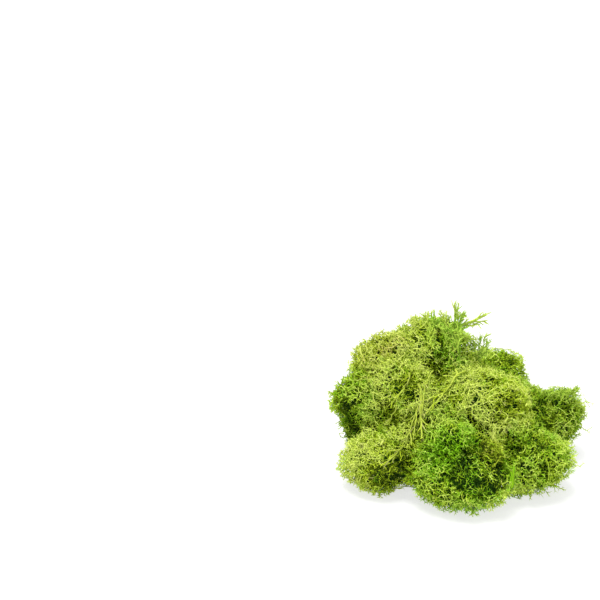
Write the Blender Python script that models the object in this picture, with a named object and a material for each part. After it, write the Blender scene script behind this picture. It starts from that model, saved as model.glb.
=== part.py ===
"""A clump of reindeer moss: sixteen branching heads grown together in one low, uneven cushion.

Units are metres. +X is to the right, +Y away from the viewer and +Z up. The origin is on the ground
that the clump lies on, below its middle.
"""
import math
import random

import bmesh
import bpy
from mathutils import Matrix, Vector, noise

MM = 0.001
GAP = 0.3 * MM
SEED = 41

# The cushion of old stems in the middle, which every head has its share of: a flattened ball that
# touches the ground with a small spot under the weight.
CUSHION_CENTRE = Vector((-8, 2, 12)) * MM
CUSHION_RADII = Vector((57, 52, 44)) * MM
CUSHION_DOWN = 14 * MM
CUSHION_DETAIL = 2
STALK_REACH = 0.6  # share of the way from a head to the cushion that the head's inside is drawn
STALK_EDGE = 0.2
CELL_CUBE = 0.4  # wider than the clump, so that only the planes shape a cell

# A head's inside: how deep it lies under the head's outline, and its least share of the head.
BRUSH_DEPTH = 6.5 * MM
SMALLEST_CORE = 0.5
CORE_BUMP = 1.4 * MM
BUMP_SIZE = 11 * MM
CORE_DETAIL = 2

# One sprig: a stem that forks in three, and the branches in three again.
STEM_RADIUS = 1.6 * MM
FORK_RADIUS = 1.5 * MM
TWIG_RADIUS = 1.05 * MM
ROOT_SUNK = 2.4 * MM
STEM_LENGTH = 2.0 * MM
BRANCH_LENGTH = 4.8 * MM
FORK_ANGLE = math.radians(52)
FORK_RISE = 0.45

# Where sprigs stand: full ones first, then plain forks in what is left. Each row holds the times
# that a sprig forks, its size and the least distance to the next one.
SPRIG_ROWS = ((2, 1.15, 13 * MM), (2, 0.9, 11 * MM), (1, 1.1, 6.6 * MM), (1, 0.75, 5 * MM))
CELL_MARGIN = 0.25 * MM
SITE_MARGIN = 0.3 * MM
SITE_TRIES = 1200
WALL_NEAR = 6 * MM
WALL_TURN = 1.2
UNDERSIDE = -0.6
UPWARD = Vector((0, 0, 0.25))
LEAN = 0.3

YELLOW_GREEN = (0.42, 0.52, 0.07)
FRESH_GREEN = (0.25, 0.48, 0.05)
DARK_GREEN = (0.15, 0.33, 0.04)
OLIVE_GREEN = (0.36, 0.42, 0.08)

# Each head: centre and half sizes in millimetres, and its colour.
HEADS = {
    "front_head": ((-3, -55, 17), (32, 23, 18), FRESH_GREEN),
    "front_left_head": ((-50, -45, 16), (24, 21, 17), YELLOW_GREEN),
    "front_right_head": ((39, -31, 18), (25, 21, 19), FRESH_GREEN),
    "right_head": ((52, 16, 25), (18, 17, 19), DARK_GREEN),
    "left_low_head": ((-62, -6, 18), (17, 17, 19), DARK_GREEN),
    "left_head": ((-70, -9, 38), (17, 15, 17), FRESH_GREEN),
    "crown_left_head": ((-55, 8, 57), (20, 17, 17), OLIVE_GREEN),
    "crown_head": ((-28, 16, 62), (24, 20, 21), YELLOW_GREEN),
    "middle_head": ((-42, -14, 46), (18, 17, 19), YELLOW_GREEN),
    "shelf_head": ((10, -13, 46), (24, 20, 18), YELLOW_GREEN),
    "bright_head": ((-9, -47, 35), (14, 12, 13), FRESH_GREEN),
    "knob_head": ((14, -52, 32), (8, 8, 8), OLIVE_GREEN),
    "upper_right_head": ((17, 28, 47), (15, 14, 14), FRESH_GREEN),
    "back_left_head": ((-36, 40, 28), (23, 21, 28), FRESH_GREEN),
    "back_head": ((4, 50, 23), (25, 20, 23), YELLOW_GREEN),
    "back_right_head": ((32, 43, 14), (20, 19, 14), DARK_GREEN),
}
ON_GROUND = ("front_head", "front_left_head", "front_right_head", "right_head", "left_low_head",
             "back_left_head", "back_head", "back_right_head")
GROUND_SINK = 1.6 * MM

# Long single stems that stand out of a head: root and tip in millimetres.
SPRAYS = {
    "crown_head": (((-21, 14, 73), (-13, 15, 95)), ((-18, 14, 71), (6, 14, 92)),
                   ((-18, 14, 72), (-7, 12, 86)), ((-30, 13, 72), (-35, 12, 88)),
                   ((-18, 13, 64), (3, 14, 71))),
    "middle_head": (((-36, -16, 54), (-28, -24, 61)),),
    "right_head": (((55, 12, 28), (71, 12, 30)), ((58, 14, 20), (70, 6, 18))),
    "front_right_head": (((36, -38, 9), (39, -52, 7)),),
}
SPRAY_STEM_RADIUS = 1.1 * MM
SPRAY_SIZE = 0.8


def clear_scene():
    for item in list(bpy.data.objects):
        bpy.data.objects.remove(item, do_unlink=True)


def new_collection(name):
    collection = bpy.data.collections.new(name)
    bpy.context.scene.collection.children.link(collection)
    return collection


def moss_material(name, colour):
    material = bpy.data.materials.new(name)
    material.use_nodes = True
    material.diffuse_color = (*colour, 1)
    shader = material.node_tree.nodes["Principled BSDF"]
    shader.inputs["Base Color"].default_value = (*colour, 1)
    shader.inputs["Roughness"].default_value = 0.85
    shader.inputs["Metallic"].default_value = 0.0
    return material


def reach(radii, direction):
    """How far an ellipsoid goes along a direction, measured to its touching plane."""
    return math.sqrt(sum((r * d) ** 2 for r, d in zip(radii, direction)))


def cell_of(name):
    """The space that a head has to itself: planes between it and each other head, and the ground."""
    centre = Vector(HEADS[name][0]) * MM
    radii = Vector(HEADS[name][1]) * MM
    planes = [(Vector((0, 0, 0)), Vector((0, 0, -1)))]
    for other, (place, size, _) in HEADS.items():
        if other == name:
            continue
        way = Vector(place) * MM - centre
        normal = way.normalized()
        own = reach(radii, normal)
        share = own / (own + reach(Vector(size) * MM, normal))
        planes.append((centre + way * share - normal * GAP / 2, normal))
    return planes


def depth_in(planes, point):
    """Distance from a point to the nearest wall of its cell, negative outside."""
    return min((origin - point).dot(normal) for origin, normal in planes)


def cell_mesh(planes):
    """The same space as a closed solid: a large cube with every plane cut off it."""
    cell = bmesh.new()
    bmesh.ops.create_cube(cell, size=CELL_CUBE)
    for origin, normal in planes:
        cut = bmesh.ops.bisect_plane(cell, geom=cell.verts[:] + cell.edges[:] + cell.faces[:],
                                     plane_co=origin, plane_no=normal, clear_outer=True)
        rim = [item for item in cut["geom_cut"] if isinstance(item, bmesh.types.BMEdge)]
        if rim:
            bmesh.ops.holes_fill(cell, edges=rim, sides=0)
    return cell


def bumpy_ball(centre, radii, down, detail, stalk):
    """A ball with uneven sides, drawn out along its stalk: its lower half has its own height."""
    ball = bmesh.new()
    bmesh.ops.create_icosphere(ball, subdivisions=detail, radius=1)
    for vert in ball.verts:
        way = vert.co.copy()
        height = radii.z if way.z > 0 else down
        drawn = min(1, max(0, 0.5 + way.dot(stalk.normalized()) / (2 * STALK_EDGE)))
        place = centre + Vector((way.x * radii.x, way.y * radii.y, way.z * height)) + stalk * drawn
        vert.co = place + way * noise.noise(place / BUMP_SIZE) * CORE_BUMP * 2
    return ball


def core_mesh(name):
    """The dense inside of one head, with the old stems that lead to it from the middle."""
    centre = Vector(HEADS[name][0]) * MM
    radii = Vector([max(r * MM - BRUSH_DEPTH, r * MM * SMALLEST_CORE) for r in HEADS[name][1]])
    down = centre.z + GROUND_SINK if name in ON_GROUND else radii.z
    return bumpy_ball(centre, radii, down, CORE_DETAIL, (CUSHION_CENTRE - centre) * STALK_REACH)


def ring(centre, along, towards, radius):
    """Three points round a stem, the first one on the side that it is turned towards."""
    side = (towards - along * towards.dot(along)).normalized()
    return [centre + Matrix.Rotation(math.radians(turn), 3, along) @ side * radius
            for turn in (0, 120, 240)]


def loft(mesh, lower, upper):
    """Join two rings of three points by a closed wall."""
    for here in range(3):
        after = (here + 1) % 3
        mesh.faces.new((lower[here], lower[after], upper[after]))
        mesh.faces.new((lower[here], upper[after], upper[here]))


def fork(mesh, rng, rim, place, along, radius, levels, size):
    """Close the end of a stem with three branches, each with a fork of its own or a pointed tip."""
    middle = mesh.verts.new(place + along * radius * FORK_RISE)
    for here in range(3):
        base = [rim[here], rim[(here + 1) % 3], middle]
        seat = (base[0].co + base[1].co + base[2].co) / 3
        away = ((base[0].co + base[1].co) / 2 - place).normalized()
        lean = FORK_ANGLE * rng.uniform(0.7, 1.15)
        way = along * math.cos(lean) + away * math.sin(lean)
        end = seat + way * BRANCH_LENGTH * size * rng.uniform(0.85, 1.15)
        if levels == 1:
            tip = mesh.verts.new(end)
            for side in range(3):
                mesh.faces.new((base[side], base[(side + 1) % 3], tip))
            continue
        inner, left, right = ring(end, way, middle.co - seat, TWIG_RADIUS * size)
        top = [mesh.verts.new(point) for point in (left, right, inner)]
        loft(mesh, base, top)
        fork(mesh, rng, top, end, way, TWIG_RADIUS * size, levels - 1, size)


def grow_sprig(rng, root, along, stem_radius, stem_length, levels, size):
    """A stem that forks in three, and its branches in three again, as often as levels says."""
    mesh = bmesh.new()
    side = Matrix.Rotation(rng.uniform(0, math.tau), 3, along) @ along.orthogonal()
    end = root + along * (ROOT_SUNK * size + stem_length)
    lower = [mesh.verts.new(point) for point in ring(root, along, side, stem_radius)]
    upper = [mesh.verts.new(point) for point in ring(end, along, side, FORK_RADIUS * size)]
    mesh.faces.new(lower[::-1])
    loft(mesh, lower, upper)
    fork(mesh, rng, upper, end, along, FORK_RADIUS * size, levels, size)
    bmesh.ops.recalc_face_normals(mesh, faces=mesh.faces)
    return mesh


def add_mesh_object(collection, name, mesh):
    data = bpy.data.meshes.new(name)
    mesh.to_mesh(data)
    mesh.free()
    item = bpy.data.objects.new(name, data)
    collection.objects.link(item)
    return item


def fits(mesh, planes):
    return all(depth_in(planes, vert.co) > CELL_MARGIN for vert in mesh.verts)


def applied(item, operation, solver, **target):
    """The mesh of an object after one Boolean with an object or a collection.

    The Manifold solver is for the sprigs: there are dozens on a head, and they cross.
    """
    join = item.modifiers.new(operation, "BOOLEAN")
    join.operation = operation
    join.solver = solver
    for key, value in target.items():
        setattr(join, key, value)
    bpy.context.view_layer.update()
    result = bpy.data.meshes.new_from_object(item.evaluated_get(bpy.context.evaluated_depsgraph_get()))
    item.modifiers.remove(join)
    return result


def open_faces(core, planes):
    """The faces of a core that no neighbour lies against, and that don't look down."""
    return [face for face in core.polygons
            if depth_in(planes, face.center) > SITE_MARGIN and face.normal.z > UNDERSIDE]


def random_sites(rng, core, faces):
    """Random places on some faces, each with the way that it faces."""
    for face in rng.choices(faces, [face.area for face in faces], k=SITE_TRIES):
        corners = [core.vertices[index].co for index in face.vertices]
        shares = [rng.random() for _ in corners]
        yield sum((c * s for c, s in zip(corners, shares)), Vector()) / sum(shares), face.normal


def add_spray(loose, rng, name, root, tip):
    """One long stem out of a head, with a sprig's forks at its end."""
    start, end = Vector(root) * MM, Vector(tip) * MM
    along = (end - start).normalized()
    stem = (end - start).length - (2 * BRANCH_LENGTH + ROOT_SUNK) * SPRAY_SIZE
    mesh = grow_sprig(rng, start, along, SPRAY_STEM_RADIUS, stem, 2, SPRAY_SIZE)
    add_mesh_object(loose, name + "_spray", mesh)


def add_sprigs(loose, rng, name, core, planes):
    """Cover the open side of a core with sprigs, which turn away from the cell's walls."""
    faces = open_faces(core, planes)
    crowns = []
    for levels, size, spacing in SPRIG_ROWS:
        for start, normal in random_sites(rng, core, faces):
            along = normal + UPWARD + Vector([rng.uniform(-LEAN, LEAN) for _ in range(3)])
            for origin, wall in planes:
                nearness = 1 - (origin - start).dot(wall) / WALL_NEAR
                along -= wall * max(0, nearness) * WALL_TURN
            along.normalize()
            crown = start + along * STEM_LENGTH
            if any((crown - other).length < (spacing + room) / 2 for other, room in crowns):
                continue
            mesh = grow_sprig(rng, start - along * ROOT_SUNK * size, along, STEM_RADIUS * size,
                              STEM_LENGTH * size, levels, size)
            if fits(mesh, planes):
                add_mesh_object(loose, name + "_sprig", mesh)
                crowns.append((crown, spacing))
            else:
                mesh.free()


def grow_head(parts, loose, name):
    """One head: its core in its own cell, and its sprigs joined to it."""
    rng = random.Random(SEED + len(parts.objects))
    planes = cell_of(name)
    head = add_mesh_object(parts, name, core_mesh(name))
    cushion = bumpy_ball(CUSHION_CENTRE, CUSHION_RADII, CUSHION_DOWN, CUSHION_DETAIL, Vector())
    middle = add_mesh_object(loose, name + "_middle", cushion)
    head.data = applied(head, "UNION", "EXACT", object=middle)
    cell = add_mesh_object(loose, name + "_cell", cell_mesh(planes))
    head.data = applied(head, "INTERSECT", "EXACT", object=cell)
    bpy.data.objects.remove(middle, do_unlink=True)
    bpy.data.objects.remove(cell, do_unlink=True)
    for root, tip in SPRAYS.get(name, ()):
        add_spray(loose, rng, name, root, tip)
    add_sprigs(loose, rng, name, head.data, planes)
    head.data = applied(head, "UNION", "MANIFOLD", operand_type="COLLECTION", collection=loose)
    head.data.name = name
    for item in list(loose.objects):
        bpy.data.objects.remove(item, do_unlink=True)
    head.data.materials.clear()
    head.data.materials.append(moss_material(name + "_moss", HEADS[name][2]))


clear_scene()
clump = new_collection("reindeer_moss_clump")
loose_pieces = new_collection("loose_pieces")
for head_name in HEADS:
    grow_head(clump, loose_pieces, head_name)
bpy.data.collections.remove(loose_pieces)
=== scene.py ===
"""A clump of preserved reindeer moss: sixteen heads of fine forked branches, grown together.

Each head is grown in the place of its own solid. Lengths are in metres, apart from the lists of
places and the widths of branches, which are in millimetres.
"""

import math

import bpy
import numpy as np
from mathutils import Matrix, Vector, noise


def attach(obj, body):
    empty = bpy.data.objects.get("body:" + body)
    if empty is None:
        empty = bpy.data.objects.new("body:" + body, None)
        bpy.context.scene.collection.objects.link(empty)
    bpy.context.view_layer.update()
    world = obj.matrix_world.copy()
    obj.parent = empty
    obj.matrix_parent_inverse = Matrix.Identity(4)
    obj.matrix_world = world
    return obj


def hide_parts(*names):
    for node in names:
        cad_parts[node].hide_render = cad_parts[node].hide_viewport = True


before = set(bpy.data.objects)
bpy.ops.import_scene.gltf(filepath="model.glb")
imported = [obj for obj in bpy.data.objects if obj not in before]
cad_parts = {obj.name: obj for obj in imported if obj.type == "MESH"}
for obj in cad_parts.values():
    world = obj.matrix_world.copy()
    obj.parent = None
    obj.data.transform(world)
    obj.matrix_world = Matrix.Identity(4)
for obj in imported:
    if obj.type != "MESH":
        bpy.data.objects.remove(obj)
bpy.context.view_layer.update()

# Front heads.
# Three low cushions of the lichen lie along the front edge, pressed on the ground. Each is one
# plant: thin branches that fork again and again and end in a dense net of tips.
MM = 0.001
GROUND_CLEARANCE = 0.35 * MM
LICHEN_SEED = 20
TINY = 1e-12  # keeps a division away from zero


def unit(ways):
    return ways / np.maximum(np.linalg.norm(ways, axis=-1, keepdims=True), TINY)


def sideways(rng, ways):
    """A random direction square to each of the given ones."""
    loose = rng.normal(size=ways.shape)
    return unit(loose - (loose * ways).sum(-1, keepdims=True) * ways)


def uneven(places, size):
    """Smooth random values from -1 to 1 that change over the given distance."""
    return np.array([noise.noise(Vector(place) / size) for place in places])


# Each head's middle and half sizes in millimetres, as in its solid, and its tint from 0, a fresh
# green, to 1, a straw yellow. They stand together because heads run on into their neighbours.
HEADS = {
    "front_head": ((-3, -55, 17), (32, 23, 18), 0.48),
    "front_left_head": ((-50, -45, 16), (24, 21, 17), 0.68),
    "front_right_head": ((39, -31, 18), (25, 21, 19), 0.52),
    "right_head": ((52, 16, 25), (18, 17, 19), 0.46),
    "left_low_head": ((-62, -6, 18), (17, 17, 19), 0.45),
    "left_head": ((-70, -9, 38), (17, 15, 17), 0.5),
    "crown_left_head": ((-55, 8, 57), (20, 17, 17), 0.66),
    "crown_head": ((-28, 16, 62), (24, 20, 21), 0.6),
    "middle_head": ((-42, -14, 46), (18, 17, 19), 0.66),
    "shelf_head": ((10, -13, 46), (24, 20, 18), 0.76),
    "bright_head": ((-9, -47, 35), (14, 12, 13), 0.35),
    "knob_head": ((14, -52, 32), (8, 8, 8), 0.66),
    "upper_right_head": ((17, 28, 47), (15, 14, 14), 0.6),
    "back_left_head": ((-36, 40, 28), (23, 21, 28), 0.5),
    "back_head": ((4, 50, 23), (25, 20, 23), 0.6),
    "back_right_head": ((32, 43, 14), (20, 19, 14), 0.45),
}
# Hollows between and in the heads: each one's middle, its width, how deep it sinks the outline, and
# how much painted shade darkens its growth, by counting it as deeper. Below 0 it swells the outline, or
# paints light that makes the growth paler.
HOLLOWS = np.array((
    (5, -56, 38, 6, 6.5, 10),
    (0, -62, 35, 6, 6.5, 11),
    (-3, -68, 31, 6, 6.0, 10),
    (-5, -74, 28, 5, 4.5, 8),
    (2, -76, 20, 5, 4.0, 8),
    (9, -74, 20, 5, 4.0, 8),
    (17, -70, 21, 5, 4.0, 8),
    (18, -62, 26, 7, 4.5, 12),
    (9, -50, 38, 4, 4.0, 8),
    (22, -56, 34, 4, 3.0, 7),
    (6, -71, 25, 4, 3.0, 7),
    (21, -44, 36, 4, 3.5, 5),
    (26, -47, 32, 5, 4.5, 7),
    (-36, -55, 28, 6.5, 7.0, 11),
    (-44, -64, 10, 8, 2.5, 7),
    (-50, -64, 19, 6, 0.5, 6),
    (-36, -62, 19, 5, 1.0, 6),
    (-30, -37, 38, 4.5, 6.0, 10),
    (-30, -44, 34, 4.5, 6.0, 10),
    (26, -41, 34, 6, 6.5, 10),
    (38, -38, 36, 6, 5.0, 8),
    (46, -48, 22, 5, 4.0, 7),
    (43, 0, 37, 6, 4.5, 4),
    (45, -10, 31, 8, 1.0, 9),
    (45, -43, 33, 7, 0.5, 3),
    (-71, -22, 22, 8, 5.0, 8),
    (-71, -20, 10, 8, 5.0, 8),
    (-73, -23, 36, 7, 4.5, 8),
    (-21, 2, 76, 3.5, 3.5, 7),
    (-20, -1, 70, 4, 5.0, 9),
    (-21, -4, 64, 5, 6.5, 11),
    (-21, -9, 60, 5, 6.5, 11),
    (-20, -15, 56, 5, 5.0, 9),
    (-48, -31, 36, 6, 6.0, 10),
    (-49, -30, 45, 5, 4.0, 8),
    (-36, -24, 59, 5, 5.5, 9),
    (-44, -26, 59, 4, 4.0, 5),
    (-54, -6, 68, 4, 4.0, 7),
    (21, -28, 53, 5, 5.0, 8),
    (-66, 6, 72, 10, 4.5, 0),
    (-50, 10, 78, 8, 3.5, 0),
    (-81, -4, 46, 7, 2.5, 0),
    (-33, -57, 4, 8, 3.0, 5),
    (10, -80, 5, 12, 2.0, 0),
    (58, -36, 4, 14, 3.5, 0),
    (-70, 5, 67, 6, 2.5, 0),
    (44, 16, 42, 5, 2.0, 2),
    (-80, -9, 24, 6, 2.0, 0),
    (-34, 18, 83, 7, 2.5, 0),
    (-26, 16, 88, 6, 1.5, 0),
    (-69, -40, 25, 5, 3.0, 3),
    (-30, -68, 14, 5, 3.5, 4),
    (57, -45, 20, 7, 1.5, 0),
    (-4, 15, 68, 8, -4.0, 0),
    (-26, -28, 49, 7, -2.0, -9),
    (16, -39, 43, 7, -3.0, -6),
    (2, -32, 54, 9, -3.0, -5),
    (0, -17, 62, 10, -0.5, -3),
    (-52, -18, 58, 7, -1.0, -5),
    (-54, -27, 46, 7, -1.0, -5),
    (-45, 14, 74, 9, -1.5, -6),
    (-62, -52, 27, 13, -0.5, -5),
    (-18, -35, 45, 6, -1.5, -6),
    (8, -36, 47, 5, -1.0, -5),
    (-37, -1, 73, 7, -0.5, -5),
)) * MM
# The low cushion in the middle of the clump, where all heads come together.
CUSHION_CENTRE = np.array((-8, 2, 12)) * MM
CUSHION_RADII = np.array((57, 52, 44)) * MM
STALK_SHARE = 0.6


def ball_of(name):
    """A head's centre and radii in metres, and how far its ball is drawn out to the middle."""
    centre, radii = (np.array(values) * MM for values in HEADS[name][:2])
    return centre, radii, (CUSHION_CENTRE - centre) * STALK_SHARE


def ball_depth(places, centre, radii, stalk):
    """1 on the outline of a ball that is drawn out along its stalk, and less inside it."""
    scaled, drawn = (places - centre) / radii, stalk / radii
    share = np.clip(scaled @ drawn / max(drawn @ drawn, TINY), 0, 1)
    return np.linalg.norm(scaled - share[:, None] * drawn, axis=1)


def ball_samples(rng, centre, radii, stalk, count):
    """Random places on such a drawn ball."""
    ways, share = unit(rng.normal(size=(count, 3))), rng.random((count, 1)) ** 2
    return centre + ways * radii + share * stalk


BALLS = [ball_of(name) for name in HEADS] + [(CUSHION_CENTRE, CUSHION_RADII, np.zeros(3))]
BLEND = 4.2 * MM
PUFF = 0.2 * MM
SLOPE_STEP = 0.4 * MM
LEAST_SLOPE = 0.05


def beyond_each(places):
    """How far outside each drawn ball the places are, one column a ball, the cushion last."""
    return np.stack([(ball_depth(places, *ball) - 1) * ball[1].mean() for ball in BALLS], 1)


def hollows_at(places):
    """How far the hollows sink the outline at some places, and how much deeper growth counts there, as
    painted shade, or as painted light below 0.
    """
    apart = ((places[:, None] - HOLLOWS[:, :3]) ** 2).sum(2)
    return (np.exp(-apart / HOLLOWS[:, 3] ** 2) @ HOLLOWS[:, 4:]).T


def beyond(places):
    """How far outside the clump the places are: its heads and its cushion run softly together."""
    each = beyond_each(places)
    nearest = each.min(1)
    joined = nearest - BLEND * np.log(np.exp((nearest[:, None] - each) / BLEND).sum(1))
    return joined + PUFF + hollows_at(places)[0]


def outward(places):
    """The slope of that distance, which points straight out of the clump."""
    rises = [beyond(places + step) - beyond(places - step) for step in np.eye(3) * SLOPE_STEP]
    return np.stack(rises, 1) / (2 * SLOPE_STEP)


def settle(places, depth, rounds=3):
    """Move places straight in or out until they lie at the given depth under the outline."""
    for _ in range(rounds):
        slope = outward(places)
        steepness = (slope ** 2).sum(1).clip(LEAST_SLOPE)
        places = places - slope * ((beyond(places) + depth) / steepness)[:, None]
    return places


TUFT_RADIUS = 3.5 * MM
TUFT_SPACING = 3.42 * MM
TUFT_INSET = 2.9 * MM
TUFT_TRIES = 3600
CUSHION_TRIES = 4 * TUFT_TRIES
LOWEST_TUFT = 1 * MM
# Tufts that face down more than this, below the height, are thinned to this share.
UNDERSIDE_SLOPE = -0.35
UNDERSIDE_HEIGHT = 12 * MM
UNDERSIDE_SHARE = 0.9
# The unevenness of the outline: over what distance it changes, and its greatest height.
RELIEF = ((24 * MM, 3.0 * MM), (11 * MM, 3.2 * MM), (5 * MM, 2.6 * MM))


def tuft_sites(rng):
    """Even places for tufts all over the clump, the way each faces, and the head it belongs to."""
    tries = [TUFT_TRIES] * len(HEADS) + [CUSHION_TRIES]
    places = np.concatenate([ball_samples(rng, *ball, count) for ball, count in zip(BALLS, tries)])
    places = settle(places[places[:, 2] > 0], TUFT_INSET)
    places = places[places[:, 2] > LOWEST_TUFT]
    places = places[rng.permutation(len(places))]
    chosen = np.empty_like(places)
    count = 0
    for place in places:
        if count == 0 or ((chosen[:count] - place) ** 2).sum(1).min() > TUFT_SPACING ** 2:
            chosen[count] = place
            count += 1
    places = chosen[:count]
    normals = unit(outward(places))
    shown = (normals[:, 2] > UNDERSIDE_SLOPE) | (places[:, 2] > UNDERSIDE_HEIGHT)
    kept = shown | (rng.random(count) < UNDERSIDE_SHARE)
    places, normals = places[kept], normals[kept]
    for size, height in RELIEF:
        places = places + normals * (uneven(places, size) * height)[:, None]
    return places, normals, beyond_each(places)[:, :-1].argmin(1)


site_places, site_normals, site_heads = tuft_sites(np.random.default_rng(LICHEN_SEED))

TINT_BLEND = 2.5 * MM
TINT_REACH = (-8 * MM, 60 * MM)
# Patches of yellower and greener growth: over what distance they change, and by how much.
TINT_PATCHES = ((16 * MM, 0.2), (6 * MM, 0.14))
PATCH_SHIFT = 0.5  # takes the patches from another part of the noise than the relief
# Places that are greener, below 0, or yellower than their head: middle, width and change of tint.
TINT_SPOTS = (
    ((-12, -57, 33), 10, -0.5),
    ((-54, -4, 69), 6, 0.5),
    ((-14, -40, 46), 10, 0.3),
    ((-60, -48, 28), 14, 0.15),
    ((56, 10, 44), 9, 0.25),
    ((-14, -2, 70), 8, -0.35),
    ((-45, 9, 77), 9, 0.3),
)


def tint_at(places):
    """The tint of the clump at some places: each head's own, blended into its neighbours'."""
    shares = np.exp(-beyond_each(places)[:, :-1].clip(*TINT_REACH) / TINT_BLEND)
    tints = shares @ np.array([head[2] for head in HEADS.values()]) / shares.sum(1)
    for size, change in TINT_PATCHES:
        tints = tints + uneven(places + PATCH_SHIFT, size) * change
    for middle, width, change in TINT_SPOTS:
        apart = ((places - np.array(middle) * MM) ** 2).sum(1)
        tints = tints + change * np.exp(-apart / (width * MM) ** 2)
    return tints


def run(rng, roots, ways, lengths, curl, steps):
    """Grow a branch from each root, bent steadily to one side, and give its points and end."""
    points = [roots]
    bend = sideways(rng, ways) * (curl * rng.normal(size=(len(roots), 1)))
    for _ in range(steps):
        ways = unit(ways + bend)
        points.append(points[-1] + ways * (lengths / steps)[:, None])
    return np.stack(points, 1), ways


TURN_SPREAD = 0.25
LEAN_RANGE = (0.6, 1.25)


def fork(rng, ways, least, most, angle):
    """Split each branch in a whorl: the parent's number and the new direction of every child."""
    counts = rng.integers(least, most + 1, len(ways))
    parents = np.repeat(np.arange(len(ways)), counts)
    first = np.repeat(np.cumsum(counts) - counts, counts)
    turn = math.tau * (np.arange(len(parents)) - first) / counts[parents]
    turn += (rng.random(len(ways)) * math.tau)[parents] + rng.normal(size=len(parents)) * TURN_SPREAD
    along = ways[parents]
    side = sideways(rng, ways)[parents]
    across = np.cross(along, side)
    lean = angle * rng.uniform(*LEAN_RANGE, len(parents))
    away = side * np.cos(turn)[:, None] + across * np.sin(turn)[:, None]
    return parents, unit(along * np.cos(lean)[:, None] + away * np.sin(lean)[:, None])


DRAWN_BACK = 0.75


def within(points, centres, limits):
    """Draw what grows past a tuft's round outline most of the way back to it."""
    away = points - centres[:, None]
    distance = np.linalg.norm(away, axis=2)
    excess = np.maximum(distance - limits[:, None], 0)
    shrink = (distance - excess * DRAWN_BACK) / np.maximum(distance, TINY)
    return centres[:, None] + away * shrink[..., None]


def raised(points, widths):
    """The same points, but none so low that a branch of that width would touch the ground."""
    points = points.copy()
    points[..., 2] = np.maximum(points[..., 2], GROUND_CLEARANCE + widths * MM / 2)
    return points


def point_mesh(name, places, edges, values):
    """Points, the edges between them, and a number or a vector that each point carries."""
    mesh = bpy.data.meshes.new(name)
    mesh.vertices.add(len(places))
    mesh.vertices.foreach_set("co", places.ravel())
    mesh.edges.add(len(edges))
    mesh.edges.foreach_set("vertices", edges.ravel().astype(np.int32))
    for key, value in values.items():
        kind, field = ("FLOAT_VECTOR", "vector") if value.ndim == 2 else ("FLOAT", "value")
        layer = mesh.attributes.new(key, kind, "POINT")
        layer.data.foreach_set(field, value.ravel().astype(np.float32))
    return mesh


# Growth counts as older with depth under the outline. This darkens it partly as real age and partly as
# painted shade.
CANOPY_DEPTH = 8.5 * MM
# Painted shade: growth at the ground is painted darker, fading out at LOW_HEIGHT.
LOW_SHADE = 0.6
LOW_HEIGHT = 9 * MM
# The range of the random share that each row takes of the hollows' painted shade or painted light.
PAINTED_SHADE_RANGE = (0.35, 1.25)
REACH_RANGE = (0.02, 1)


def growth_and_shade_at(places, shade_shares):
    """How far out the growth at some places lies, from 0 deep in the clump to 1 on its outline, which
    darkens it partly with age and partly as painted shade.
    """
    # Painted shade: the growth is darker towards the ground.
    low = LOW_SHADE + (1 - LOW_SHADE) * np.clip(places[:, 2] / LOW_HEIGHT, 0, 1)
    # Painted shade in the hollows, and painted light where a hollow's value is below 0.
    depth = beyond(places) - hollows_at(places)[1] * shade_shares
    return np.clip((1 + depth / CANOPY_DEPTH) * low, *REACH_RANGE)


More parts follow.
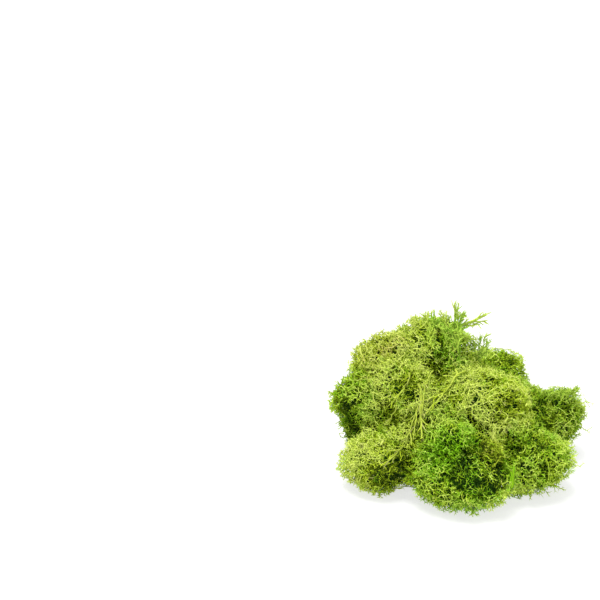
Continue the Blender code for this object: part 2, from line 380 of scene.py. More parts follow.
class Strands:
    """The branches of one piece as rows of points, and its tips as points with a direction."""

    def __init__(self, seed):
        self.rng = np.random.default_rng(seed)
        self.points, self.widths, self.tints, self.limits, self.shade_shares = [], [], [], [], []
        self.tips, self.ways, self.tip_widths, self.tip_tints, self.tip_limits = [], [], [], [], []
        self.tip_shade_shares = []

    def add(self, points, widths, tints, limit=1.0):
        """Rows of points, their widths in millimetres, a tint a row, and the most that each pales."""
        shape = points.shape[:2]
        self.points.append(raised(points, widths))
        # A random share for each row of the hollows' painted shade or painted light.
        self.shade_shares.append(np.broadcast_to(self.rng.uniform(*PAINTED_SHADE_RANGE, (shape[0], 1)), shape))
        self.widths.append(np.broadcast_to(widths, shape))
        self.tints.append(np.broadcast_to(tints[:, None], shape))
        self.limits.append(np.broadcast_to(np.reshape(limit, (-1, 1)), shape))

    def add_tips(self, roots, ways, lengths, width, tints, limit=1.0):
        """Short pointed ends of one width in millimetres that stand on their roots."""
        roots = raised(roots, width)
        ends = raised(roots + ways * lengths[:, None], width)
        self.tips.append(roots)
        self.ways.append(ends - roots)
        self.tip_widths.append(np.full(len(roots), width))
        self.tip_tints.append(tints)
        self.tip_limits.append(np.broadcast_to(limit, len(roots)))
        # A random share for each tip of the hollows' painted shade or painted light.
        self.tip_shade_shares.append(self.rng.uniform(*PAINTED_SHADE_RANGE, len(roots)))

    def line_mesh(self, name):
        """All branches as one mesh of edges."""
        places = np.concatenate([points.reshape(-1, 3) for points in self.points])
        edges, first = [], 0
        for points in self.points:
            rows = first + np.arange(points.shape[0] * points.shape[1]).reshape(points.shape[:2])
            edges.append(np.stack([rows[:, :-1], rows[:, 1:]], 2).reshape(-1, 2))
            first += rows.size
        limits = np.concatenate([limits.ravel() for limits in self.limits])
        shade_shares = np.concatenate([shade_shares.ravel() for shade_shares in self.shade_shares])
        return point_mesh(name, places, np.concatenate(edges), {
            "width": np.concatenate([widths.ravel() for widths in self.widths]) * MM / 2,
            "tint": np.concatenate([tints.ravel() for tints in self.tints]),
            "reach": growth_and_shade_at(places, shade_shares) * limits,
        })

    def tip_mesh(self, name):
        """All tips as one mesh of loose points."""
        places = np.concatenate(self.tips)
        limits = np.concatenate(self.tip_limits)
        return point_mesh(name, places, np.zeros((0, 2)), {
            "way": np.concatenate(self.ways),
            "width": np.concatenate(self.tip_widths) * MM / 2,
            "tint": np.concatenate(self.tip_tints),
            "reach": growth_and_shade_at(places, np.concatenate(self.tip_shade_shares)) * limits,
        })


# A tuft, with its lengths in tuft radii: how its size and its lean vary, its stem, and its whorls.
TUFT_SIZES = (0.8, 1.2)
TUFT_LEAN = 0.3
UPWARD = (0, 0, 0.12)
STEM_DEPTH = 1.35
STEM_LENGTH = 0.85
STEM_WIDTH = 0.8
CURL = 0.42
# Each row: fewest and most branches of a whorl, their length in tuft radii, their fork angle in
# degrees, and their width at the root and the end in millimetres.
WHORLS = (
    (3, 4, 0.54, 52, 0.66, 0.60),
    (2, 3, 0.50, 50, 0.60, 0.54),
    (2, 2, 0.42, 50, 0.54, 0.46),
)
# The pointed tips on the last whorl: fewest, most, length, angle and one width.
TIPS = (2, 3, 0.46, 44, 0.50)
LENGTH_SPREAD = 0.28
TIP_LENGTHS = (0.6, 1.3)
BRANCH_TINTS = 0.1
MOST_DULLED = 0.3


def grow_tufts(rng, strands, centres, normals, tuft, tints):
    """Fill the round outline of every tuft with a stem that forks again and again."""
    limits = tuft * rng.uniform(*TUFT_SIZES, len(centres))
    ways = unit(normals + rng.normal(size=normals.shape) * TUFT_LEAN + UPWARD)
    roots = centres - ways * (limits * STEM_DEPTH)[:, None]
    points, ways = run(rng, roots, ways, limits * STEM_LENGTH, CURL, 1)
    strands.add(points, np.full((1, 2), STEM_WIDTH), tints)
    owner = np.arange(len(centres))
    for least, most, length, angle, root_width, end_width in WHORLS:
        parents, ways = fork(rng, ways, least, most, math.radians(angle))
        owner = owner[parents]
        tints = tints[parents] + rng.normal(size=len(parents)) * BRANCH_TINTS
        lengths = length * limits[owner] * np.exp(rng.normal(size=len(parents)) * LENGTH_SPREAD)
        points, ways = run(rng, points[parents, -1], ways, lengths, CURL, 1)
        points = within(points, centres[owner], limits[owner])
        pale = 1 - rng.random(len(parents)) ** 2 * MOST_DULLED
        strands.add(points, np.array([[root_width, end_width]]), tints, pale)
    least, most, length, angle, width = TIPS
    parents, ways = fork(rng, ways, least, most, math.radians(angle))
    lengths = length * limits[owner[parents]] * rng.uniform(*TIP_LENGTHS, len(parents))
    strands.add_tips(points[parents, -1], ways, lengths, width, tints[parents], pale[parents])


# A wiry branch of the net: its steps and its width in millimetres at both ends, how it bends and
# wanders, and how it keeps near its depth.
NET_STEP = 1.7 * MM
NET_STEPS = 5
NET_STEP_RANGE = (0.7, 1.3)
NET_WIDTH = (0.60, 0.42)
NET_BEND = 0.45
NET_WANDER = 0.18
NET_ROUGHNESS = 0.5 * MM
NET_RETURN = 0.6
# Its side twigs.
TWIG_LENGTH = 2.2 * MM
TWIG_LENGTHS = (0.5, 1.3)
TWIG_WIDTH = NET_WIDTH[0] * 0.85
TWIG_LEAN = 0.5


def grow_net(rng, strands, starts, depth, tints):
    """Long wiry branches that wander along the clump at one depth, each with a few side twigs."""
    places = settle(starts + rng.normal(size=starts.shape) * TUFT_SPACING / 2, depth, 1)
    normals = unit(outward(places))
    ways = sideways(rng, normals)
    bends = rng.normal(size=(len(starts), 1)) * NET_BEND
    points = [places]
    for _ in range(NET_STEPS):
        wander = rng.normal(size=ways.shape) * NET_WANDER
        ways = unit(ways + np.cross(normals, ways) * bends + wander)
        places = places + ways * NET_STEP * rng.uniform(*NET_STEP_RANGE, (len(starts), 1))
        normals = unit(outward(places))
        height = rng.normal(size=len(starts)) * NET_ROUGHNESS - (beyond(places) + depth) * NET_RETURN
        places = places + normals * height[:, None]
        points.append(places)
    points = np.stack(points, 1)
    strands.add(points, np.linspace(*NET_WIDTH, NET_STEPS + 1)[None], tints)
    for knot in range(1, NET_STEPS + 1):
        roots = points[:, knot]
        side = unit(sideways(rng, ways) + normals * TWIG_LEAN + ways * TWIG_LEAN)
        lengths = TWIG_LENGTH * rng.uniform(*TWIG_LENGTHS, len(roots))
        strands.add_tips(roots, side, lengths, TWIG_WIDTH, tints)


# A long shoot: its steps, how its bow and its width vary, and how its line is smoothed.
SHOOT_STEP = 2 * MM
FEWEST_STEPS = 3
BOW_RANGE = (0.4, 1.3)
SHOOT_SMOOTHING = 0.3
SHOOT_ROUGHNESS = 0.2 * MM
SHOOT_TAPER = 0.5
KNOT_WIDTHS = (0.85, 1.15)
# The twigs on it: where they stand, how far they lean, how long they are as shares of the shoot,
# and their widths from root to end as shares of the shoot's.
TWIGGED_SHARE = 0.85
TWIG_CROWDING = 1.4
SHOOT_TWIG_LEANS = (0.5, 1.3)
SHOOT_TWIG_SHARES = (0.16, 0.34)
LONGEST_TWIG = 4.5 * MM
LOW_TWIG_GAIN = 1.25
TWIG_SHORTENING = 0.5
SHOOT_TWIG_CURL = 0.2
SHOOT_TWIG_WIDTHS = np.array([[0.62, 0.56, 0.42]])
SHOOT_TWIG_TINTS = 0.08
# The one to three pointed tips of a twig: their length and their width.
TWIG_TIP_LENGTH = 0.75
TWIG_TIP_WIDTH = 0.44


def places_on(points, shares, wanted):
    """The places at the wanted shares of the way along a line of points."""
    return np.stack([np.interp(wanted, shares, points[:, axis]) for axis in range(3)], 1)


def shoot_line(rng, path, bow):
    """Points along a path, bowed and a little uneven, their shares of it, its way and length."""
    walked = np.concatenate([[0], np.cumsum(np.linalg.norm(np.diff(path, axis=0), axis=1))])
    span = walked[-1]
    way = unit(path[-1] - path[0])[None]
    steps = max(FEWEST_STEPS, round(span / SHOOT_STEP))
    share = np.linspace(0, 1, steps + 1)
    points = places_on(path, walked, share * span)
    reach = bow * span
    points += sideways(rng, way) * reach * rng.uniform(*BOW_RANGE) * np.sin(share[:, None] * math.pi)
    smoothed = (points[:-2] + points[2:] - 2 * points[1:-1]) * SHOOT_SMOOTHING
    points[1:-1] += smoothed + rng.normal(size=(steps - 1, 3)) * SHOOT_ROUGHNESS
    return points, share, way, span


def grow_shoot(rng, strands, path, width, tint, twigs, bow, spread, pale):
    """One long branch along a path, in millimetres, that carries pointed twigs to its end."""
    points, share, way, span = shoot_line(rng, np.array(path, float) * MM, bow)
    knots = width * (1 - SHOOT_TAPER * share[None]) * rng.uniform(*KNOT_WIDTHS, (1, len(points)))
    strands.add(points[None], knots, np.array([tint]), pale)
    where = 1 - rng.random(twigs) ** TWIG_CROWDING * TWIGGED_SHARE
    ways = np.repeat(way, twigs, 0)
    lean = math.radians(spread) * rng.uniform(*SHOOT_TWIG_LEANS, (twigs, 1))
    ways = unit(ways * np.cos(lean) + sideways(rng, ways) * np.sin(lean))
    lengths = np.minimum(span * rng.uniform(*SHOOT_TWIG_SHARES, twigs), LONGEST_TWIG)
    lengths = lengths * (LOW_TWIG_GAIN - TWIG_SHORTENING * where)
    tints = tint + rng.normal(size=twigs) * SHOOT_TWIG_TINTS
    spots = places_on(points, share, where)
    grown, ways = run(rng, spots, ways, lengths, SHOOT_TWIG_CURL, 2)
    strands.add(grown, SHOOT_TWIG_WIDTHS * width, tints, pale)
    parents, ways = fork(rng, ways, 1, 3, math.radians(spread))
    strands.add_tips(grown[parents, -1], ways, lengths[parents] * TWIG_TIP_LENGTH,
                     TWIG_TIP_WIDTH * width, tints[parents], pale)


CORE_DEPTH = 6.6 * MM
LEAST_CORE = 0.4
CORE_DETAIL = 3
# How much wider and deeper the underside of a low core is, so that no floor shows through it.
CORE_FLARE = np.array((0.16, 0.16, 0.5))
FLARED_BELOW = 32 * MM
STALK_SOFTNESS = 1.6
CORE_RELIEF = 1.2 * MM
CORE_RELIEF_SIZE = 5 * MM
CORE_TINTS = 0.1
# The core's growth value is near 0, which gives it the darkest colour: painted shade for the inside of
# the head.
CORE_REACH = 0.03
BAKE_MAP = "OFBake"


def core_mesh(name, centre, radii, stalk, tint):
    """The inside of a head, coloured dark as painted shade, drawn out to the middle of the clump as its
    old stems are.
    """
    inner = np.maximum(radii - CORE_DEPTH, radii * LEAST_CORE)
    bpy.ops.mesh.primitive_ico_sphere_add(subdivisions=CORE_DETAIL, radius=1)
    ball = bpy.context.object
    ways = np.array([vert.co for vert in ball.data.vertices])
    drawn = np.clip(0.5 + ways @ unit(stalk) * STALK_SOFTNESS, 0, 1)[:, None]
    if centre[2] < FLARED_BELOW:
        inner = inner * (1 + np.maximum(-ways[:, 2:], 0) * CORE_FLARE)
    places = centre + ways * inner + stalk / STALK_SHARE * drawn
    relief = uneven(places, CORE_RELIEF_SIZE) * CORE_RELIEF
    places += ways * (relief - hollows_at(places)[0])[:, None]
    places[:, 2] = np.maximum(places[:, 2], GROUND_CLEARANCE)
    ball.data.vertices.foreach_set("co", places.ravel())
    ball.data.shade_smooth()
    shade = tint + uneven(places, CORE_RELIEF_SIZE * 2) * CORE_TINTS
    reach = CORE_REACH + CORE_REACH * uneven(places, CORE_RELIEF_SIZE)
    corners = np.array([loop.vertex_index for loop in ball.data.loops])
    while ball.data.uv_layers:
        ball.data.uv_layers.remove(ball.data.uv_layers[0])
    layer = ball.data.uv_layers.new(name=BAKE_MAP)
    layer.uv.foreach_set("vector", np.clip(np.stack([shade, reach], 1), 0, 1)[corners].ravel())
    ball.name = name + "_core"
    return ball


def new_tree(name, sockets):
    """A Geometry Nodes tree with named inputs, and the nodes that its inputs and result are on."""
    tree = bpy.data.node_groups.new(name, "GeometryNodeTree")
    tree.interface.new_socket(name="Geometry", in_out="INPUT", socket_type="NodeSocketGeometry")
    for label, kind, value in sockets:
        socket = tree.interface.new_socket(name=label, in_out="INPUT", socket_type="NodeSocket" + kind)
        if value is not None:
            socket.default_value = value
    tree.interface.new_socket(name="Geometry", in_out="OUTPUT", socket_type="NodeSocketGeometry")
    return tree, tree.nodes.new("NodeGroupInput"), tree.nodes.new("NodeGroupOutput")


def place_node(tree, kind, settings=(), **inputs):
    """Adds a node, sets its modes, and fills its inputs with values or other nodes' outputs."""
    node = tree.nodes.new(kind)
    for key, value in dict(settings).items():
        setattr(node, key, value)
    for key, value in inputs.items():
        key = int(key[1:]) if key[0] == "_" else key.replace("_", " ")
        if isinstance(value, bpy.types.NodeSocket):
            tree.links.new(value, node.inputs[key])
        else:
            node.inputs[key].default_value = value
    return node


def output_of(tree, kind, settings=(), **inputs):
    """Adds a node in the same way and gives its first output."""
    return place_node(tree, kind, settings, **inputs).outputs[0]


def computed(tree, operation, *values):
    """The result of one Math node."""
    inputs = {"_%d" % number: value for number, value in enumerate(values)}
    return output_of(tree, "ShaderNodeMath", {"operation": operation}, **inputs)


def named_value(tree, name, kind="FLOAT"):
    return output_of(tree, "GeometryNodeInputNamedAttribute", {"data_type": kind}, Name=name)


def store(tree, geometry, name, value, kind, domain):
    """Keeps a value on the points or corners of a mesh under a name."""
    return output_of(tree, "GeometryNodeStoreNamedAttribute", {"data_type": kind, "domain": domain},
                     Geometry=geometry, Name=name, Value=value)


def with_map(tree, given, geometry, corners, reach):
    """Writes the map that colours are read from: the tint, a little spread round a branch, and reach."""
    turn = computed(tree, "FLOORED_MODULO", output_of(tree, "GeometryNodeInputIndex"), corners)
    across = computed(tree, "MULTIPLY_ADD", turn, given.outputs["Map Band"], named_value(tree, "tint"))
    place = output_of(tree, "ShaderNodeCombineXYZ", X=across, Y=reach)
    return store(tree, geometry, BAKE_MAP, place, "FLOAT2", "CORNER")


SPIKE_SIDES = 3
SPIKE_POINTS = SPIKE_SIDES + 1
TIP_PALING = 0.08


def stand_tips(tree, given):
    """Stands a small three-sided spike on every tip point, along its way and as long as that is."""
    points = place_node(tree, "GeometryNodeObjectInfo", Object=given.outputs["Tips"])
    spike = output_of(tree, "GeometryNodeMeshCone", Vertices=SPIKE_SIDES,
                      Radius_Top=0.0, Radius_Bottom=1.0, Depth=1.0)
    place = output_of(tree, "GeometryNodeInputPosition")
    height = place_node(tree, "ShaderNodeSeparateXYZ", _0=place).outputs[2]
    marked = store(tree, spike, "rise", height, "FLOAT", "POINT")
    way = named_value(tree, "way", "FLOAT_VECTOR")
    length = place_node(tree, "ShaderNodeVectorMath", {"operation": "LENGTH"}, _0=way)
    girth = computed(tree, "MULTIPLY", named_value(tree, "width"), given.outputs["Girth"])
    size = output_of(tree, "ShaderNodeCombineXYZ", X=girth, Y=girth, Z=length.outputs["Value"])
    turned = output_of(tree, "FunctionNodeAlignRotationToVector", {"axis": "Z"}, Vector=way)
    stood = output_of(tree, "GeometryNodeInstanceOnPoints", Points=points.outputs["Geometry"],
                      Instance=marked, Rotation=turned, Scale=size)
    real = output_of(tree, "GeometryNodeRealizeInstances", Geometry=stood)
    rise, reach = named_value(tree, "rise"), named_value(tree, "reach")
    paler = computed(tree, "MULTIPLY_ADD", rise, TIP_PALING, reach)
    return with_map(tree, given, real, SPIKE_POINTS, paler)


def build_strand_tree():
    """Turns branches drawn as edges into thin closed tubes, and joins them to a head's core."""
    tree, given, result = new_tree("moss_strands", (
        ("Core", "Object", None),
        ("Tips", "Object", None),
        ("Sides", "Int", 3),
        ("Girth", "Float", 1.0),
        ("Map Band", "Float", 0.012),
        ("Finish", "Material", None),
    ))
    sides = given.outputs["Sides"]
    lines = output_of(tree, "GeometryNodeMeshToCurve", Mesh=given.outputs["Geometry"])
    profile = output_of(tree, "GeometryNodeCurvePrimitiveCircle", Resolution=sides, Radius=1.0)
    width = computed(tree, "MULTIPLY", named_value(tree, "width"), given.outputs["Girth"])
    tubes = output_of(tree, "GeometryNodeCurveToMesh", Curve=lines, Profile_Curve=profile,
                      Scale=width, Fill_Caps=True)
    core = place_node(tree, "GeometryNodeObjectInfo", Object=given.outputs["Core"])
    joined = place_node(tree, "GeometryNodeJoinGeometry")
    tree.links.new(core.outputs["Geometry"], joined.inputs[0])
    tree.links.new(with_map(tree, given, tubes, sides, named_value(tree, "reach")), joined.inputs[0])
    tree.links.new(stand_tips(tree, given), joined.inputs[0])
    bare = joined.outputs[0]
    for name in ("width", "tint", "reach", "rise", "way"):
        bare = output_of(tree, "GeometryNodeRemoveAttribute", Geometry=bare, Name=name)
    real = output_of(tree, "GeometryNodeRealizeInstances", Geometry=bare)
    done = output_of(tree, "GeometryNodeSetMaterial", Geometry=real, Material=given.outputs["Finish"])
    tree.links.new(done, result.inputs[0])
    return tree


strand_tree = build_strand_tree()


def set_input(modifier, label, value):
    """Sets a modifier's input by its socket's identifier."""
    for item in modifier.node_group.interface.items_tree:
        if item.item_type == "SOCKET" and item.in_out == "INPUT" and item.name == label:
            modifier[item.identifier] = value


def add_object(name, data):
    """A new object in the scene."""
    made = bpy.data.objects.new(name, data)
    bpy.context.scene.collection.objects.link(made)
    return made


def tubes_from(name, lines, tips, core, finish):
    """The finished piece: the tree's result as a plain mesh that needs no modifier."""
    source = add_object(name + "_lines", lines)
    spikes = add_object(name + "_tips", tips)
    grown = source.modifiers.new("strands", "NODES")
    grown.node_group = strand_tree
    set_input(grown, "Core", core)
    set_input(grown, "Tips", spikes)
    set_input(grown, "Finish", finish)
    bpy.context.view_layer.update()
    evaluated = source.evaluated_get(bpy.context.evaluated_depsgraph_get())
    result = bpy.data.meshes.new_from_object(evaluated)
    for part in (source, spikes, core):
        bpy.data.objects.remove(part, do_unlink=True)
    result.name = name
    return add_object("moss_" + name, result)


def shader_group(name, inputs, outputs):
    group = bpy.data.node_groups.new(name, "ShaderNodeTree")
    for label, kind in inputs:
        group.interface.new_socket(name=label, in_out="INPUT", socket_type="NodeSocket" + kind)
    for label, kind in outputs:
        group.interface.new_socket(name=label, in_out="OUTPUT", socket_type="NodeSocket" + kind)
    return group, group.nodes.new("NodeGroupInput"), group.nodes.new("NodeGroupOutput")


def blend(tree, factor, low, high):
    """One colour over into another."""
    mix = place_node(tree, "ShaderNodeMix", {"data_type": "RGBA"}, _0=factor, _6=low, _7=high)
    return mix.outputs[2]


def remap(tree, value, start, end, low=0.0, high=1.0, shape="LINEAR"):
    """Turns the values from start to end into those from low to high, and holds them beyond."""
    return output_of(tree, "ShaderNodeMapRange", {"interpolation_type": shape},
                     Value=value, _1=start, _2=end, _3=low, _4=high)


def ramp_between(tree, value, start, end):
    """0 below start and 1 above end, smooth between them."""
    return remap(tree, value, start, end, shape="SMOOTHSTEP")


def recolour(tree, colour, hue=0.5, saturation=1.0, value=1.0):
    """The colour with its hue turned, 0.5 being none, and its strength and brightness scaled."""
    return output_of(tree, "ShaderNodeHueSaturation",
                     Hue=hue, Saturation=saturation, Value=value, Color=colour)


def grain_noise(tree, place, scale, detail):
    return output_of(tree, "ShaderNodeTexNoise", Vector=place, Scale=scale, Detail=detail)


def build_lichen_group():
    """Colour along a branch: dark old stems, partly painted shade, green middle parts and paler young
    tips.

    The map's first number is the branch's own tint, the second how far out it lies in its head, lowered
    by painted shade near the ground and in the hollows; low values take the darker colours, partly as
    painted shade.
    """
    group, given, result = shader_group(
        "lichen_growth",
        (("Place", "Vector"), ("Grain", "Vector"), ("Old", "Color"), ("Fresh", "Color"),
         ("Yellow", "Color"), ("Tip", "Color"), ("Straw", "Color")),
        (("Color", "Color"), ("Roughness", "Float"), ("Height", "Float")))
    dyes = given.outputs
    split = place_node(group, "ShaderNodeSeparateXYZ", _0=dyes["Place"])
    tint, reach = split.outputs[0], split.outputs[1]
    body = blend(group, ramp_between(group, tint, 0.1, 0.8), dyes["Fresh"], dyes["Yellow"])
    body = blend(group, ramp_between(group, tint, 1.0, 1.2), body, dyes["Straw"])
    # A darker copy of the body colour, painted shade for growth deep in the clump.
    deep = recolour(group, body, hue=0.512, saturation=1.05, value=0.42)
    shaded = blend(group, ramp_between(group, reach, 0.0, 0.4), dyes["Old"], deep)
    grown = blend(group, ramp_between(group, reach, 0.3, 0.72), shaded, body)
    most_paled = remap(group, tint, -0.2, 0.5, 0.2, 0.6)
    paled = computed(group, "MULTIPLY", ramp_between(group, reach, 0.6, 1.0), most_paled)
    tipped = blend(group, paled, grown, dyes["Tip"])
    mottle = grain_noise(group, dyes["Grain"], 420.0, 2.0)
    tone = recolour(group, tipped, value=remap(group, mottle, 0.3, 0.7, 0.87, 1.08))
    powder = grain_noise(group, dyes["Grain"], 2600.0, 3.0)
    rough = remap(group, powder, 0.3, 0.7, 0.78, 0.95)
    for label, value in (("Color", tone), ("Roughness", rough), ("Height", powder)):
        group.links.new(value, result.inputs[label])
    return group


lichen_growth = build_lichen_group()


def moss_finish(name, old, fresh, yellow, tip, straw):
    """Dyed dry lichen: matt and a little powdery, with its colour from the branch's own map."""
    material = bpy.data.materials.new(name)
    material.use_nodes = True
    tree = material.node_tree
    shader = tree.nodes["Principled BSDF"]
    shader.inputs["Specular IOR Level"].default_value = 0.1
    shader.inputs["Sheen Weight"].default_value = 0.02
    shader.inputs["Sheen Roughness"].default_value = 0.6
    growth = tree.nodes.new("ShaderNodeGroup")
    growth.node_tree = lichen_growth
    dyes = {"Old": old, "Fresh": fresh, "Yellow": yellow, "Tip": tip, "Straw": straw}
    for label, colour in dyes.items():
        growth.inputs[label].default_value = (*colour, 1)
    place = output_of(tree, "ShaderNodeUVMap", {"uv_map": BAKE_MAP})
    local = place_node(tree, "ShaderNodeTexCoord")
    tree.links.new(place, growth.inputs["Place"])
    tree.links.new(local.outputs["Object"], growth.inputs["Grain"])
    tree.links.new(growth.outputs["Color"], shader.inputs["Base Color"])
    tree.links.new(growth.outputs["Roughness"], shader.inputs["Roughness"])
    bump = output_of(tree, "ShaderNodeBump", Strength=0.25, Distance=0.0001,
                     Height=growth.outputs["Height"])
    tree.links.new(bump, shader.inputs["Normal"])
    return material


WIDEST_TUFT = 0.5  # of a head's narrowest radius
SITE_TINTS = 0.07
NET_DEPTH = 1.0 * MM
NET_SHARE = 0.45  # branches of the net for each tuft
UNDER_NET_DEPTH = 4.4 * MM
HEAD_SEED = LICHEN_SEED + 1
STRAND_SEED = LICHEN_SEED + 100


def grow_head(name, finish, shoots=(), tuft=1.0, under_net=1.0):
    """One head: tufts over its outline, wiry branches across them, and a core under them, dark as
    painted shade.

    tuft scales its tufts, and under_net is how many branches its deeper net has for each of them.
    """
    number = list(HEADS).index(name)
    rng = np.random.default_rng(HEAD_SEED + number)
    own = site_heads == number
    places, normals = site_places[own], site_normals[own]
    tints = tint_at(places) + rng.normal(size=len(places)) * SITE_TINTS
    strands = Strands(STRAND_SEED + number)
    radius = min(TUFT_RADIUS * tuft, BALLS[number][1].min() * WIDEST_TUFT)
    grow_tufts(rng, strands, places, normals, radius, tints)
    for depth, share in ((NET_DEPTH, NET_SHARE), (UNDER_NET_DEPTH, under_net)):
        picked = rng.integers(0, len(places), round(len(places) * share))
        grow_net(rng, strands, places[picked], depth, tints[picked])
    for shoot in shoots:
        grow_shoot(rng, strands, **shoot)

    lines = strands.line_mesh(name + "_lines")
    tips = strands.tip_mesh(name + "_tips")
    core = core_mesh(name, *BALLS[number], HEADS[name][2])
    piece = tubes_from(name, lines, tips, core, finish)
    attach(piece, "root")
    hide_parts(name)
    return piece


def stem(path, width=1.3, tint=1.06, twigs=5, bow=0.0, spread=34, pale=0.58):
    """What one long branch is drawn by, for grow_shoot.

    Its path and its width are in millimetres, its bow is a share of its length, its twigs spread
    by so many degrees, and pale is the most that its young growth pales.
    """
    return {"path": path, "width": width, "tint": tint, "twigs": twigs, "bow": bow,
            "spread": spread, "pale": pale}


def shoot(root, tip, width=1.3, tint=0.55, twigs=6, bow=0.12, spread=38, pale=1.0):
    """A branch that runs in one bow from its root to its tip."""
    return stem((root, tip), width, tint, twigs, bow, spread, pale)


# Each finish's first colour is for the oldest growth deep in the clump and for the cores. It is dark
# partly as old stems and partly as painted shade.
YELLOW_MOSS = moss_finish("yellow_green_moss", (0.018, 0.060, 0.002), (0.25, 0.54, 0.008),
                          (0.53, 0.68, 0.03), (0.76, 0.84, 0.23), (0.61, 0.63, 0.19))
FRESH_MOSS = moss_finish("fresh_green_moss", (0.015, 0.056, 0.002), (0.24, 0.54, 0.004),
                         (0.50, 0.67, 0.03), (0.69, 0.82, 0.18), (0.58, 0.56, 0.12))

FRONT_LEFT_STEMS = [
    stem(((-36, -50.8, 31.8), (-38, -53.4, 30.8), (-41.5, -59, 28.6), (-46.2, -62.6, 26.2)),
         1.6, twigs=4),
    stem(((-38, -53.4, 30.8), (-41.8, -55.8, 30.5), (-47, -56.4, 31)), 1.2, twigs=4),
    stem(((-37, -51, 31.5), (-40, -56, 29.5), (-42, -60.5, 27)), 1.0, twigs=4),
]
FRONT_RIGHT_SHOOTS = [
    shoot((36, -38, 9), (39, -48, 5), 1.1, 0.55, 6, 0.12, 40, 0.85),
    shoot((36.5, -49, 27), (42.7, -45, 32), 0.7, 0.6, 5, 0.15, 34, 0.82),
    shoot((47.5, -49, 17), (45, -45, 30), 0.7, 0.6, 6, 0.12, 34, 0.82),
    shoot((30, -50, 20), (39, -50, 16), 0.7, 0.6, 6, 0.16, 34, 0.82),
    # A flat green shoot at the foot, then loose wisps on the ground.
    shoot((26.4, -63.4, 18), (26.9, -57.8, 26.5), 2.4, 0.3, 3, 0.06, 22, 0.62),
    shoot((25.4, -63.6, 18.5), (25.8, -58.6, 25.5), 1.9, 0.25, 3, 0.06, 22, 0.62),
    shoot((57, -11, 7), (68.5, -6, 3), 0.9, 0.6, 9, 0.1, 52, 0.9),
    shoot((49, -34, 6), (57.5, -33, 2.5), 0.9, 0.6, 8, 0.1, 52, 0.9),
    shoot((42, -36, 6), (48.5, -40, 2.5), 0.9, 0.6, 7, 0.1, 52, 0.9),
    shoot((50, -12, 17), (59, -12, 16), 0.7, 0.4, 12, 0.15, 60, 0.85),
    shoot((50, -16, 22), (59, -18, 21), 0.7, 0.4, 12, 0.15, 60, 0.85),
    shoot((50, -8, 12), (59, -6, 9), 0.7, 0.35, 12, 0.15, 60, 0.8),
    shoot((50, -12, 4), (63, -10, 2), 0.62, 0.3, 14, 0.15, 60, 0.7),
    shoot((52, -16, 3), (61, -15, 1.5), 0.62, 0.3, 14, 0.15, 60, 0.7),
    shoot((50, -4, 3), (58, -3, 1.5), 0.62, 0.3, 14, 0.15, 60, 0.7),
] + [
    shoot((30 + 3.2 * part, -28, 4), (31 + 3.2 * part, -39 - part % 3, 1.5), 0.6, 0.6, 14, 0.2, 60)
    for part in range(5)
]

grow_head("front_head", FRESH_MOSS)
grow_head("front_left_head", YELLOW_MOSS, FRONT_LEFT_STEMS)
grow_head("front_right_head", FRESH_MOSS, FRONT_RIGHT_SHOOTS, tuft=0.92)

# Right head and left heads.
# Three rounder cushions of the same lichen grow out of the clump's middle at the sides. The two
# lower ones take a darker copy of the fresh green finish, as painted shade. Fine loose branches fringe
# the right one, and a leafy ridge tops it.
# A darker copy of the fresh green finish: painted shade for heads at the sides and the back.
PAINTED_SHADE_MOSS = moss_finish("dark_green_moss", (0.013, 0.048, 0.002), (0.22, 0.49, 0.006),
                        (0.47, 0.63, 0.03), (0.67, 0.78, 0.20), (0.54, 0.54, 0.12))

RIGHT_SHOOTS = [
    shoot((54, 8, 36), (69, 9, 40), 0.8, 0.5, 12, 0.12, 60),
    shoot((56, 8, 30), (69, 8, 31), 0.8, 0.5, 12, 0.12, 60),
    shoot((56, 8, 24), (71, 9, 20), 0.8, 0.5, 12, 0.15, 60),
    shoot((58, 10, 20), (66, 9, 17), 0.8, 0.45, 12, 0.2, 60),
    shoot((55, 6, 16), (62, 8, 11), 0.8, 0.4, 12, 0.2, 60, 0.8),
    shoot((55, 11, 37), (65, 10, 43), 0.8, 0.5, 8, 0.12, 50),
    shoot((52, 8, 37), (60.5, 10, 46.5), 1.2, 0.4, 12, 0.2, 46, 0.85),
]
RIGHT_BRUSH = [
    shoot((39 + 2.4 * part, 8 + part % 2, 38 + 0.3 * part),
          (43 + 2.4 * part, 9 + part % 3, 43.5 + 0.45 * part), 1.2 + 0.1 * (part % 3), 0.44,
          15, 0.22, 46, 0.8)
    for part in range(9)
]

grow_head("right_head", PAINTED_SHADE_MOSS, RIGHT_SHOOTS + RIGHT_BRUSH, tuft=0.92)
grow_head("left_low_head", PAINTED_SHADE_MOSS)
grow_head("left_head", FRESH_MOSS)

# Crown heads.
# The two highest cushions. The left one is older and shows bare straw coloured branches; from the
# other one a brush of long shoots and two forked prongs stand up, and green strands hang down.
OLIVE_MOSS = moss_finish("olive_green_moss", (0.022, 0.055, 0.002), (0.28, 0.51, 0.010),
                         (0.53, 0.64, 0.04), (0.74, 0.80, 0.23), (0.62, 0.56, 0.14))

